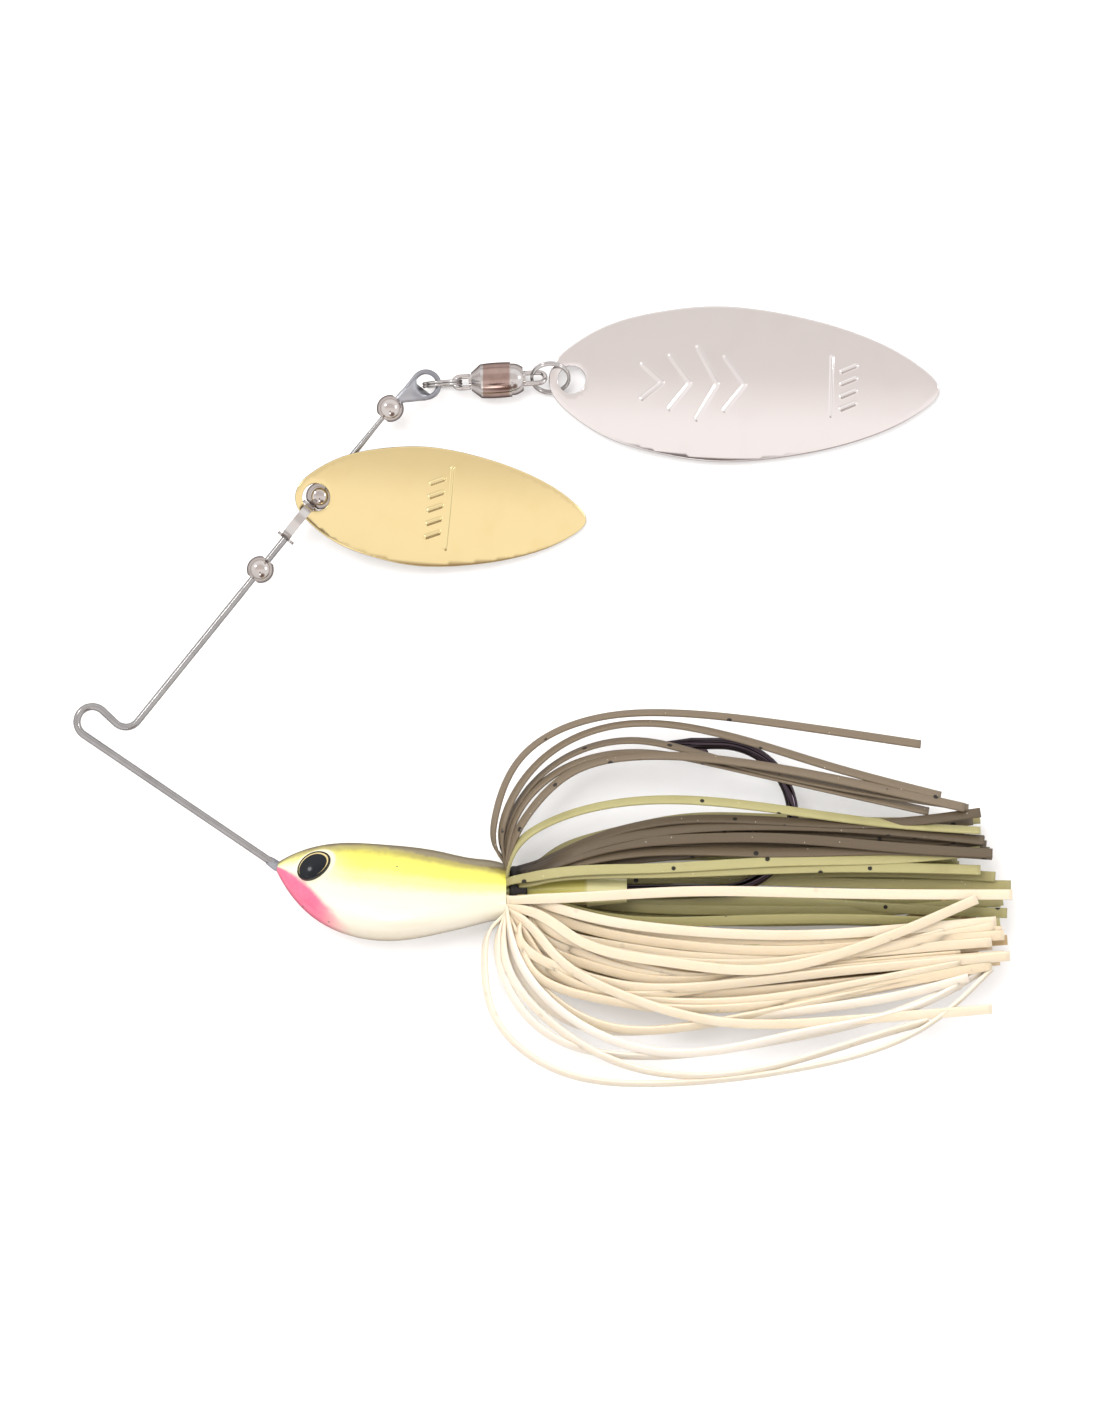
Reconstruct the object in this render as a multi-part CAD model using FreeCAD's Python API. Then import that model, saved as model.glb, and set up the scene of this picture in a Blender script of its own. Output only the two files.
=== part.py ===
import FreeCAD, Part
import os
from math import atan2, cos, degrees, radians, sin

# A double willow-leaf spinnerbait lying flat on its side, in millimetres.
# +X runs from the fish-shaped head to the tails of the skirt, +Y from the hook side to the
# blades, and +Z up from the surface it lies on.  The bent wire and the hook share one plane,
# level with the surface.  Each function below makes one physical piece, and the last lines
# move the whole model so that its origin is under the middle of its box.

# Driving dimensions ------------------------------------------------------------------------
plane_z = 4.25                  # height of the wire and hook above the surface
arm_radius = 0.475              # lower arm of the wire, 0.95 mm spring steel
upper_arm_radius = 0.45
bearing_radius = 0.42           # ground length that carries the clevis and the lower beads
tip_arm_radius = 0.30           # thin end of the taper
loop_wire_radius = 0.33         # top loop, thickened by its tinning
arm_heading = 145.85            # direction of the lower arm as it leaves the nose
nose_vertex = (-29.48, -24.50)  # where the lower arm meets the level run inside the head
lower_arm_length = 34.79        # from that vertex to the line-tie bend
tie_radius = 1.95               # line-tie bend
tie_turn = 189.25
valley_run = 2.24
valley_radius = 1.907
valley_turn = 94.5
upper_arm_length = 56.28        # from the line tie to the top loop
loop_radius = 1.63
loop_turn = 223.9
loop_tail = 3.15
solder_start = 52.75            # along the upper arm
solder_half = 0.27              # half thickness of the solder web

bead_radius = 1.72
bead_half_length = 1.50
bead_stop_at = 24.8             # distances along the upper arm
clevis_at = 32.5
bead_middle_at = 36.80
bead_upper_at = 51.08
bead_sink = 0.3                 # depth and width of the countersinks
running_gap = 0.05              # radial clearance of what turns or slides on the wire

clevis_half_span = 2.55
clevis_leg = 1.8                # straight leg above the wire before the bow starts
clevis_strip = 0.35             # sheet thickness
clevis_width = 1.2
clevis_ear_radius = 1.2

blade_sheet = 0.5
blade_hole_radius = 1.7
gold_length = 37.5
gold_width = 15.2
gold_hole_inset = 2.65          # hole centre from the round end
gold_hole_at = 36.38            # along the upper arm
gold_hole_side = 0.12           # to the left of the wire
gold_heading = -4.7
gold_pitch = 9.2
gold_roll = 5.0
gold_hole_z = 6.36              # top of the sheet at the hole
silver_length = 49.8
silver_width = 19.8
silver_hole_inset = 2.95
silver_hole = (3.75, 40.2, 2.12)
silver_heading = -1.6
silver_pitch = 1.15
blade_crown = 0.052             # depth of the dish as a part of the blade's width and length

ring_radius = 2.36              # split rings, middle of the wire
ring_wire = 0.225
ring_pitch = 0.215              # half the distance between the two coils
front_ring_reach = 0.45         # ring centre beyond the loop wire
front_ring_drop = 1.52          # ring centre below the loop wire
rear_ring_centre = (1.0, 40.42, 2.20)
rear_ring_lean = 48.0

swivel_centre = (-5.75, 40.12, 2.30)
swivel_heading = 3.5
swivel_eye_radius = 0.84        # bend of each eye, middle of its wire
swivel_eye_wire = 0.31
swivel_collar = (0.95, 0.30)    # radius and length of the collar between an eye and the barrel
front_eye_leg = 1.20            # straight legs of the eyes, from the middle of the collar
rear_eye_leg = 1.80
front_eye_roll = -30.0
rear_eye_roll = -35.0
spindle_radius = 0.5
swivel_neck = -3.3              # stations along the swivel's axis
swivel_shoulder = -2.1
swivel_seam = 1.78
swivel_nose = 3.3
swivel_bore = 1.65              # inside radius of the barrel and outside of the cap's spigot
ball_race_x = -1.82             # floor of the ball race
ball_radius = 0.37
ball_circle = (-1.41, 1.05)     # station and radius of the ring of balls
ball_count = 8
flange = (-1.0, 1.35, 0.4)      # station, radius and thickness
rivet = (0.9, 1.1, 0.3)

hook_axis_y = -24.7
hook_wire = 0.74
hook_start_x = -20.0
hook_bend_x = 22.5
hook_bend_radius = 9.3
hook_point_run = 3.6
hook_point_taper = 5.1
hook_eye_radius = 1.5
hook_tip_radius = 0.04
hook_barb_back = 6.6            # barb's root behind the tip
hook_barb_half = 0.22           # half thickness of the barb

head_back_x = -4.6
keeper_radius = 1.9
keeper_step_x = 5.65
keeper_end_x = 10.7
keeper_barb = 0.25              # how far the keeper's step stands out
band_x = (-4.2, -1.9)
band_radius = 3.05
eye_place = (-28.9, -21.65)
eye_size = (2.35, 1.65)         # half length and half height of the oval
eye_turn = 35.0
eye_facing = (-0.262, 0.448, 1.0)   # the upper eye looks a little forward and to the back
eye_surface = 2.63              # flat of the head above the middle plane, at the eye
eye_stand = 0.85                # top of the dome above that flat
eye_depth = 1.0
eye_dome = 4.6

strand_layer = (5.45, 10.4)     # heights of the skirt that lies above the hook
under_layer = (0.05, 3.1)       # heights of the skirt that lies below it
skirt_room = 0.2                # clearance of the skirt round the collar and the keeper

Vector = FreeCAD.Vector
UP = Vector(0, 0, 1)


def on_bearing(angle, length=1.0, z=0.0):
    """Vector of a length in the level plane, at an angle from +X in degrees."""
    return Vector(length * cos(radians(angle)), length * sin(radians(angle)), z)


# Bent wire ---------------------------------------------------------------------------------
def bend_wire(start, heading, moves):
    """Round wire made of moves: ("run", length, radius, end radius) or ("turn", bend, angle, radius)."""
    place = Vector(start)
    pieces = []
    for move in moves:
        if move[0] == "run":
            length, radius, end_radius = move[1:]
            along = on_bearing(heading)
            if radius == end_radius:
                pieces.append(Part.makeCylinder(radius, length, place, along))
            else:
                pieces.append(Part.makeCone(radius, end_radius, length, place, along))
            place = place + along * length
        else:
            bend, angle, radius = move[1:]
            side = 90 if angle > 0 else -90
            centre = place + on_bearing(heading + side, bend)
            section = Part.Face(Part.Wire(Part.makeCircle(radius, place, on_bearing(heading))))
            pieces.append(section.revolve(centre, UP, angle))
            heading = heading + angle
            place = centre - on_bearing(heading + side, bend)
    return join(pieces), place, heading


def join(pieces):
    if len(pieces) == 1:
        return pieces[0]
    return pieces[0].multiFuse(pieces[1:]).removeSplitter()


def biggest(shape):
    return max(shape.Solids, key=lambda solid: solid.Volume)


def level_run_moves():
    """The stretch cast into the head, up to the start of the line-tie bend."""
    corner = 4.0
    inset = corner * sin(radians(180 - arm_heading) / 2) / cos(radians(180 - arm_heading) / 2)
    inner_run = 3.25
    start = Vector(nose_vertex[0] + inset + inner_run, nose_vertex[1], plane_z)
    moves = [("run", inner_run, arm_radius, arm_radius),
             ("turn", corner, arm_heading - 180, arm_radius),
             ("run", lower_arm_length - inset, arm_radius, arm_radius)]
    return start, moves


def arm_base():
    """Start and heading of the straight upper arm, after the line-tie bends."""
    start = Vector(nose_vertex[0], nose_vertex[1], plane_z) + on_bearing(arm_heading, lower_arm_length)
    centre = start + on_bearing(arm_heading - 90, tie_radius)
    heading = arm_heading - tie_turn
    place = centre + on_bearing(heading + 90, tie_radius) + on_bearing(heading, valley_run)
    centre = place + on_bearing(heading + 90, valley_radius)
    heading = heading + valley_turn
    return centre - on_bearing(heading + 90, valley_radius), heading


BASE, ARM = arm_base()


def on_arm(distance, side=0.0, rise=0.0):
    """A point along the upper arm, side to its left and rise above its axis."""
    return BASE + on_bearing(ARM, distance) + on_bearing(ARM + 90, side) + Vector(0, 0, rise)


LOOP_CENTRE = on_arm(upper_arm_length, -loop_radius)


def wire_frame():
    start, moves = level_run_moves()
    moves += [("turn", tie_radius, -tie_turn, arm_radius),
              ("run", valley_run, arm_radius, upper_arm_radius),
              ("turn", valley_radius, valley_turn, upper_arm_radius),
              ("run", 21.0, upper_arm_radius, upper_arm_radius),
              ("run", 1.0, upper_arm_radius, bearing_radius),
              ("run", 19.6, bearing_radius, bearing_radius),
              ("run", 6.0, bearing_radius, tip_arm_radius),
              ("run", upper_arm_length - 48.6, tip_arm_radius, tip_arm_radius),
              ("run", 1.0, tip_arm_radius, loop_wire_radius),
              ("turn", loop_radius, -loop_turn, loop_wire_radius),
              ("run", loop_tail, loop_wire_radius, tip_arm_radius)]
    return biggest(bend_wire(start, 180, moves)[0])


def eye_solder(wire):
    """Tin-bismuth fillet in the crotch between the arm and the tail of the top loop."""
    tail_join = LOOP_CENTRE + on_bearing(ARM + 90 - loop_turn, loop_radius)
    corners = [on_arm(solder_start, 0.05), on_arm(upper_arm_length + 0.3), LOOP_CENTRE, tail_join,
               on_arm(solder_start, -0.55)]
    corners = [p - Vector(0, 0, p.z - plane_z + solder_half) for p in corners]
    wedge = Part.Face(Part.makePolygon(corners + corners[:1])).extrude(Vector(0, 0, 2 * solder_half))
    inside = loop_radius - loop_wire_radius - 0.05
    opening = Part.makeCylinder(inside, 4, LOOP_CENTRE - Vector(0, 0, 2), UP)
    return biggest(wedge.cut(opening).cut(wire))


# What runs on the upper arm ----------------------------------------------------------------
def bead(distance, wire_radius):
    """Hollow-look metal bead: a ball with flat ends and a wide countersink at each end."""
    along = on_bearing(ARM)
    centre = on_arm(distance)
    ball = Part.makeSphere(bead_radius, centre)
    flat = centre - along * bead_half_length
    slab = Part.makeCylinder(bead_radius + 1, 2 * bead_half_length, flat, along)
    bore_radius = wire_radius + running_gap
    bore = Part.makeCylinder(bore_radius, 2 * bead_half_length, flat, along)
    shape = ball.common(slab).cut(bore)
    for way in (along, along * -1):
        mouth = centre + way * (bead_half_length - bead_sink)
        shape = shape.cut(Part.makeCone(bore_radius, bore_radius + bead_sink, bead_sink, mouth, way))
    return biggest(shape)


def clevis():
    """Sheet strip folded into a U, with a round pierced ear at each end for the wire."""
    along = on_bearing(ARM)
    across = on_bearing(ARM + 90)
    spring_line = on_arm(clevis_at, 0, clevis_leg)
    outer = clevis_half_span + clevis_strip / 2
    inner = clevis_half_span - clevis_strip / 2
    edge = spring_line - across * (clevis_width / 2)
    bow = Part.makeCylinder(outer, clevis_width, edge, across)
    bow = bow.cut(Part.makeCylinder(inner, clevis_width, edge, across))
    keep = Part.makeBox(20, 20, 10, spring_line - Vector(10, 10, 0))
    pieces = [bow.common(keep)]
    for sign in (-1, 1):
        face = on_arm(clevis_at + sign * clevis_half_span) - along * (clevis_strip / 2)
        half = clevis_width / 2
        corners = [face - across * half, face + across * half]
        corners += [p + Vector(0, 0, clevis_leg) for p in reversed(corners)]
        leg = Part.Face(Part.makePolygon(corners + corners[:1])).extrude(along * clevis_strip)
        pieces += [leg, Part.makeCylinder(clevis_ear_radius, clevis_strip, face, along)]
    bore = Part.makeCylinder(bearing_radius + running_gap, 9, on_arm(clevis_at - 4.5), along)
    return biggest(join(pieces).cut(bore))


# Blades ------------------------------------------------------------------------------------
# Half outline of a willow leaf: part of the length from the round end, part of the half width.
LEAF = [(0.0, 0.0), (0.012, 0.20), (0.06, 0.45), (0.15, 0.72), (0.27, 0.90), (0.43, 1.0),
        (0.60, 0.925), (0.75, 0.755), (0.87, 0.53), (0.95, 0.295), (1.0, 0.0)]


def willow_blade(length, width, hole_inset):
    """Dished leaf of sheet, its hole at the origin, its tip along +X and its crown up."""
    upper = [Vector(t * length - hole_inset, w * width / 2, -8) for t, w in LEAF]
    lower = [Vector(p.x, -p.y, p.z) for p in reversed(upper[1:-1])]
    edge = Part.BSplineCurve()
    edge.interpolate(upper + lower, PeriodicFlag=True)
    leaf = Part.Face(Part.Wire(edge.toShape())).extrude(Vector(0, 0, 16))
    across_radius = width / (8 * blade_crown) * 1.25
    along_radius = length * length / (8 * blade_crown * width * 0.8)
    centre = Vector(length / 2 - hole_inset, 0, -along_radius)
    sideways = Vector(0, 1, 0)
    ring = Part.makeTorus(along_radius - across_radius, across_radius, centre, sideways)
    inside = Part.makeTorus(along_radius - across_radius, across_radius - blade_sheet, centre, sideways)
    shell = leaf.common(ring).cut(inside)
    shell = shell.cut(Part.makeCylinder(blade_hole_radius, 16, Vector(0, 0, -8), UP))
    drop = hole_inset - length / 2
    rise = drop * drop / (2 * along_radius)
    top = max(shell.Solids, key=lambda solid: solid.BoundBox.ZMax)
    top.translate(Vector(0, 0, rise))
    return top


def lay_blade(blade, hole, heading, pitch, roll):
    """Turn a blade about its hole and put the hole at its place."""
    turn = FreeCAD.Rotation(UP, heading) * FreeCAD.Rotation(Vector(0, 1, 0), pitch)
    turn = turn * FreeCAD.Rotation(Vector(1, 0, 0), roll)
    return blade.transformGeometry(FreeCAD.Placement(hole, turn).toMatrix())


def gold_blade():
    place = on_arm(gold_hole_at, gold_hole_side)
    leaf = willow_blade(gold_length, gold_width, gold_hole_inset)
    return lay_blade(leaf, Vector(place.x, place.y, gold_hole_z), gold_heading, gold_pitch, gold_roll)


def silver_blade():
    leaf = willow_blade(silver_length, silver_width, silver_hole_inset)
    return lay_blade(leaf, Vector(*silver_hole), silver_heading, silver_pitch, 0)


# Split rings and swivel --------------------------------------------------------------------
def split_ring(centre, normal):
    """Two close coils of wire side by side."""
    normal = normal.normalize()
    coils = [Part.makeTorus(ring_radius, ring_wire, centre + normal * offset, normal)
             for offset in (-ring_pitch, ring_pitch)]
    return biggest(join(coils))


def swivel_place(roll=0.0):
    turn = FreeCAD.Rotation(UP, swivel_heading) * FreeCAD.Rotation(Vector(1, 0, 0), roll)
    return FreeCAD.Placement(Vector(*swivel_centre), turn)


# The front ring stands upright on the line from the top loop to the middle of the front eye.
front_eye_x = swivel_neck - running_gap - swivel_collar[1] / 2
FRONT_EYE_CENTRE = swivel_place().multVec(Vector(front_eye_x - front_eye_leg, 0, 0))
FRONT_RING_YAW = degrees(atan2(FRONT_EYE_CENTRE.y - LOOP_CENTRE.y, FRONT_EYE_CENTRE.x - LOOP_CENTRE.x))
FRONT_RING_PIVOT = LOOP_CENTRE + on_bearing(FRONT_RING_YAW, loop_radius)
FRONT_RING_NORMAL = on_bearing(FRONT_RING_YAW + 90)
FRONT_RING_CENTRE = (FRONT_RING_PIVOT + on_bearing(FRONT_RING_YAW, front_ring_reach)
                     - Vector(0, 0, front_ring_drop))
REAR_RING_NORMAL = Vector(0, cos(radians(rear_ring_lean)), -sin(radians(rear_ring_lean)))


def along_swivel(shape, roll=0.0):
    moved = shape.copy()
    moved.Placement = swivel_place(roll)
    return moved


def turned(points, bulge=None):
    """Solid of revolution about X from (x, radius) points; bulge is (index, x, radius) of an arc."""
    corners = [Vector(x, r, 0) for x, r in points]
    edges = []
    for i, corner in enumerate(corners):
        following = corners[(i + 1) % len(corners)]
        if bulge and bulge[0] == i:
            middle = Vector(bulge[1], bulge[2], 0)
            edges.append(Part.Arc(corner, middle, following).toShape())
        else:
            edges.append(Part.LineSegment(corner, following).toShape())
    return Part.Face(Part.Wire(edges)).revolve(Vector(0, 0, 0), Vector(1, 0, 0), 360)


def wire_eye(collar_x, way, leg):
    """Collar round collar_x, and a U of wire whose legs reach along way from it."""
    radius, length = swivel_collar
    moves = [("run", leg, swivel_eye_wire, swivel_eye_wire),
             ("turn", swivel_eye_radius, 180, swivel_eye_wire),
             ("run", leg, swivel_eye_wire, swivel_eye_wire)]
    start = Vector(collar_x, -way * swivel_eye_radius, 0)
    loop = bend_wire(start, 0 if way > 0 else 180, moves)[0]
    return [loop, spindle(collar_x - length / 2, radius, length)]


def spindle(x, radius, length):
    return Part.makeCylinder(radius, length, Vector(x, 0, 0), Vector(1, 0, 0))


def swivel_front_eye():
    """Eye, spindle through the neck and the flange that the balls run against."""
    pieces = wire_eye(front_eye_x, -1, front_eye_leg)
    pieces += [spindle(front_eye_x, spindle_radius, flange[0] - front_eye_x), spindle(*flange)]
    return along_swivel(biggest(join(pieces)), front_eye_roll)


def swivel_balls():
    balls = []
    x, radius = ball_circle
    for i in range(ball_count):
        angle = radians(i * 360 / ball_count)
        balls.append(Part.makeSphere(ball_radius, Vector(x, radius * cos(angle), radius * sin(angle))))
    return along_swivel(Part.makeCompound(balls))


def swivel_barrel():
    profile = [(swivel_neck, spindle_radius + running_gap), (swivel_neck, 1.15),
               (swivel_shoulder, 2.16), (swivel_seam, 2.2), (swivel_seam, swivel_bore),
               (ball_race_x, swivel_bore), (ball_race_x, spindle_radius + running_gap)]
    return along_swivel(turned(profile, bulge=(2, -0.1, 2.27)))


def swivel_cap():
    profile = [(rivet[0] + rivet[2], spindle_radius), (rivet[0] + rivet[2], swivel_bore),
               (swivel_seam, swivel_bore), (swivel_seam, 2.02), (swivel_nose, 1.47),
               (swivel_nose, spindle_radius)]
    return along_swivel(turned(profile, bulge=(3, 2.7, 1.86)))


def swivel_rear_eye():
    """Eye with a headed stem that is riveted in the cap."""
    collar_x = swivel_nose + swivel_collar[1] / 2
    pieces = wire_eye(collar_x, 1, rear_eye_leg)
    pieces += [spindle(rivet[0], spindle_radius, collar_x - rivet[0]), spindle(*rivet)]
    return along_swivel(biggest(join(pieces)), rear_eye_roll)


# Head and hook -----------------------------------------------------------------------------
# Cross-sections of the fish-shaped head: x, back y, belly y, half thickness.
HEAD_SECTIONS = [(-33.75, -21.3, -22.3, 0.45), (-32.9, -20.75, -23.9, 1.5),
                 (-30.6, -19.7, -26.9, 2.75), (-28.0, -19.0, -28.95, 3.55),
                 (-24.9, -18.7, -30.35, 4.05), (-21.2, -18.85, -31.1, 4.25),
                 (-17.0, -19.2, -31.0, 4.2), (-12.8, -19.85, -30.2, 4.0),
                 (-9.0, -20.65, -29.3, 3.75), (head_back_x, -21.5, -28.4, 3.45)]


def head_section(x, back, belly, half_thickness):
    """Closed oval through evenly turned points, so that every section starts at its back."""
    middle = (back + belly) / 2
    half_height = (back - belly) / 2
    angles = [radians(angle) for angle in range(0, 360, 30)]
    points = [Vector(x, middle + half_height * cos(a), plane_z + half_thickness * sin(a)) for a in angles]
    oval = Part.BSplineCurve()
    oval.interpolate(points, PeriodicFlag=True)
    return Part.Wire(oval.toShape())


def fish_eye():
    """Domed oval resin eye of the upper face, sunk in a pocket of the head."""
    oval = Part.Ellipse(Vector(0, 0, -eye_depth), eye_size[0], eye_size[1])
    prism = Part.Face(Part.Wire(oval.toShape())).extrude(Vector(0, 0, 3 * eye_depth))
    eye = biggest(prism.common(Part.makeSphere(eye_dome, Vector(0, 0, eye_stand - eye_dome))))
    turn = FreeCAD.Rotation(on_bearing(eye_turn), Vector(), Vector(*eye_facing), "ZXY")
    place = Vector(eye_place[0], eye_place[1], plane_z + eye_surface)
    eye.Placement = FreeCAD.Placement(place, turn)
    return eye


def hook():
    """Straight shank with a closed eye inside the head, a round bend, a point and its barb."""
    start = Vector(hook_start_x, hook_axis_y, plane_z)
    moves = [("run", hook_bend_x - hook_start_x, hook_wire, hook_wire),
             ("turn", hook_bend_radius, 180, hook_wire),
             ("run", hook_point_run, hook_wire, hook_wire),
             ("run", hook_point_taper, hook_wire, hook_tip_radius)]
    shape, tip, heading = bend_wire(start, 0, moves)
    eye = Part.makeTorus(hook_eye_radius, hook_wire, start - Vector(hook_eye_radius, 0, 0), UP)
    root = tip + Vector(hook_barb_back, 0, -hook_barb_half)
    corners = [root + Vector(x, y, 0) for x, y in [(0.9, -1.55), (-2.6, -0.3), (-2.4, 0.1), (0.2, -0.1)]]
    barb = Part.Face(Part.makePolygon(corners + corners[:1])).extrude(Vector(0, 0, 2 * hook_barb_half))
    return biggest(join([shape, eye, barb]))


def head(wire, hook_solid, eyes):
    """One lead casting: the fish shape and the barbed keeper behind it."""
    body = Part.makeLoft([head_section(*row) for row in HEAD_SECTIONS], True, False)
    rear = Vector(1, 0, 0)
    root = Vector(head_back_x - 0.5, hook_axis_y, plane_z)
    step = Vector(keeper_step_x, hook_axis_y, plane_z)
    keeper = [Part.makeCylinder(keeper_radius, keeper_step_x - root.x, root, rear),
              Part.makeCone(keeper_radius + keeper_barb, keeper_radius - keeper_barb,
                            keeper_end_x - keeper_step_x, step, rear)]
    shape = join([body] + keeper)
    for piece in [wire, hook_solid] + eyes:
        shape = shape.cut(piece)
    return biggest(shape)


# Skirt -------------------------------------------------------------------------------------
def skirt_band():
    """Rubber collar that holds the strands on the keeper."""
    start = Vector(band_x[0], hook_axis_y, plane_z)
    length = band_x[1] - band_x[0]
    collar = Part.makeCylinder(band_radius, length, start, Vector(1, 0, 0))
    collar = collar.makeFillet(0.5, [edge for edge in collar.Edges if len(edge.Vertexes) == 1
                                     and abs(edge.Length - 6.2832 * band_radius) < 0.1])
    return collar.cut(Part.makeCylinder(keeper_radius, length, start, Vector(1, 0, 0)))


def strand_sheaf(outline, layer):
    """Plain closed solid that holds one sheaf of strands, clear of the collar and the keeper."""
    corners = [Vector(x, y, layer[0]) for x, y in outline]
    sheaf = Part.Face(Part.makePolygon(corners + corners[:1])).extrude(Vector(0, 0, layer[1] - layer[0]))
    along = Vector(1, 0, 0)
    for start, end, radius in ((band_x[0], band_x[1], band_radius),
                               (head_back_x, keeper_end_x, keeper_radius + keeper_barb)):
        place = Vector(start - skirt_room, hook_axis_y, plane_z)
        sheaf = sheaf.cut(Part.makeCylinder(radius + skirt_room, end - start + 2 * skirt_room, place, along))
    return biggest(sheaf)


# Outlines of the sheaves, from the collar round the outer side and back along the inner side.
SHEAVES = {
    "skirt_brown": ([(-3.2, -20.2), (-5.0, -18.8), (-5.9, -16.2), (-5.6, -12.8), (-3.4, -9.2), (0.2, -6.2),
                     (5.0, -3.9), (14.0, -2.2), (22.0, -2.2), (34.0, -3.8), (47.8, -6.0), (52.5, -11.6),
                     (53.8, -14.2), (44.0, -12.6), (31.0, -10.2), (18.0, -9.2), (10.5, -9.8), (5.0, -12.0),
                     (0.9, -15.6)], strand_layer),
    "skirt_dark": ([(-0.8, -20.2), (2.5, -15.8), (12.0, -13.2), (27.0, -12.8), (42.0, -14.4), (55.0, -16.0),
                    (57.2, -20.4), (40.0, -20.4), (22.0, -20.4), (7.0, -21.4)], strand_layer),
    "skirt_olive": ([(-0.8, -23.4), (8.0, -22.1), (24.0, -20.9), (42.0, -20.9), (57.6, -20.9), (59.5, -25.2),
                     (59.0, -28.2), (42.0, -29.6), (24.0, -29.6), (8.0, -28.2), (-0.8, -28.2)],
                    strand_layer),
    "skirt_cream": ([(-0.8, -28.8), (8.0, -28.8), (24.0, -30.1), (42.0, -30.1), (58.8, -28.8), (58.4, -34.4),
                     (47.0, -39.8), (36.0, -41.3), (22.0, -41.2), (12.0, -38.8), (1.0, -33.5)],
                    strand_layer),
    "skirt_cream_outer": ([(-4.6, -29.5), (-2.6, -29.8), (1.2, -36.5), (8.0, -39.9), (18.0, -42.0),
                           (30.0, -42.3), (44.0, -41.4), (55.5, -36.8), (53.6, -38.6), (48.5, -41.8),
                           (40.0, -45.2), (28.0, -48.4), (15.0, -49.4), (5.6, -48.6), (-1.4, -45.4),
                           (-5.6, -41.2), (-7.3, -35.6), (-6.8, -31.4)], strand_layer),
    "skirt_underside": ([(-0.8, -21.0), (10.0, -15.8), (28.0, -14.6), (46.0, -17.5), (54.0, -20.5),
                         (55.0, -33.5), (46.0, -38.0), (28.0, -41.0), (10.0, -38.5), (-0.8, -29.0)],
                        under_layer),
}


def build():
    wire = wire_frame()
    hook_solid = hook()
    upper_eye = fish_eye()
    eyes = [upper_eye, upper_eye.mirror(Vector(0, 0, plane_z), UP)]
    nodes = {
        "wire_frame": wire,
        "eye_solder": eye_solder(wire),
        "bead_stop": bead(bead_stop_at, bearing_radius),
        "clevis": clevis(),
        "bead_middle": bead(bead_middle_at, bearing_radius),
        "bead_upper": bead(bead_upper_at, tip_arm_radius),
        "gold_blade": gold_blade(),
        "front_ring": split_ring(FRONT_RING_CENTRE, FRONT_RING_NORMAL),
        "swivel_front_eye": swivel_front_eye(),
        "swivel_balls": swivel_balls(),
        "swivel_barrel": swivel_barrel(),
        "swivel_cap": swivel_cap(),
        "swivel_rear_eye": swivel_rear_eye(),
        "rear_ring": split_ring(Vector(*rear_ring_centre), REAR_RING_NORMAL),
        "silver_blade": silver_blade(),
        "head": head(wire, hook_solid, eyes),
        "hook": hook_solid,
        "eye_left": eyes[0],
        "eye_right": eyes[1],
        "skirt_band": skirt_band(),
    }
    for name, (outline, layer) in SHEAVES.items():
        nodes[name] = strand_sheaf(outline, layer)
    return nodes


def middle_of(nodes):
    """Point under the middle of the whole model's box."""
    box = FreeCAD.BoundBox()
    for shape in nodes.values():
        box.add(shape.optimalBoundingBox(True, False))
    return Vector(box.Center.x, box.Center.y, box.ZMin), box


def main():
    os.makedirs("parts", exist_ok=True)
    nodes = build()
    origin, box = middle_of(nodes)
    print("box %.2f x %.2f x %.2f mm, origin moved by %.3f %.3f %.3f"
          % (box.XLength, box.YLength, box.ZLength, -origin.x, -origin.y, -origin.z))
    for name, shape in nodes.items():
        shape.translate(origin * -1)
        print("%-18s solids %d valid %s volume %.2f z %.2f..%.2f"
              % (name, len(shape.Solids), shape.isValid(), shape.Volume,
                 shape.BoundBox.ZMin, shape.BoundBox.ZMax))
        shape.exportStep("parts/%s.step" % name)


main()
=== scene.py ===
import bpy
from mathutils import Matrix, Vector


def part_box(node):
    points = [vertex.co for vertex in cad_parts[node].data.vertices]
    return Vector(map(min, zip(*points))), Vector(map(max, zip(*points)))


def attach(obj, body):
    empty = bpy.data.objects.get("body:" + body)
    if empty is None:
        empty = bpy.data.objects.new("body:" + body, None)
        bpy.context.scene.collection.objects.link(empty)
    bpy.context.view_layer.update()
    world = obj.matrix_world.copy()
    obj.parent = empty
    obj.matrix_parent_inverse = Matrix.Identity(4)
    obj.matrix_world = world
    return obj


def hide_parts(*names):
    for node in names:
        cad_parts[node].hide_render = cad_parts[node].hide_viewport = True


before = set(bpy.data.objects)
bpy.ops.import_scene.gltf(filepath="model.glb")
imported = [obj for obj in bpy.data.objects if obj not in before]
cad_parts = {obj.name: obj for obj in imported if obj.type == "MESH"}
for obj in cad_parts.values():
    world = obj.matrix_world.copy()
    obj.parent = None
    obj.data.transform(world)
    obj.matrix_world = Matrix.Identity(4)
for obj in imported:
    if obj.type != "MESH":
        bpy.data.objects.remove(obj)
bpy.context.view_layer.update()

from math import cos, pi, radians, sin, sqrt

import bmesh
import bpy
import numpy as np
from mathutils import Matrix, Vector, geometry

# A double willow-leaf spinnerbait, lying flat.  Everything that is measured here in millimetres is
# turned into metres as it becomes a mesh, and places come from the boxes of the CAD nodes.

MM = 0.001
light_level = 1.35              # lights a little strong, so that shadows stay pale
random = np.random.default_rng(11)


def middle(node):
    """Middle of a CAD node's box, in millimetres."""
    low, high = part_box(node)
    return (low + high) / 2 / MM


def frame_of(long_axis, normal, place):
    """Matrix that puts a flat drawing at a place: its X along long_axis, its Z along normal."""
    z = Vector(normal).normalized()
    x = Vector(long_axis)
    x = (x - z * x.dot(z)).normalized()
    turn = Matrix((x, z.cross(x), z)).transposed().to_4x4()
    return Matrix.Translation(place) @ turn


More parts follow.
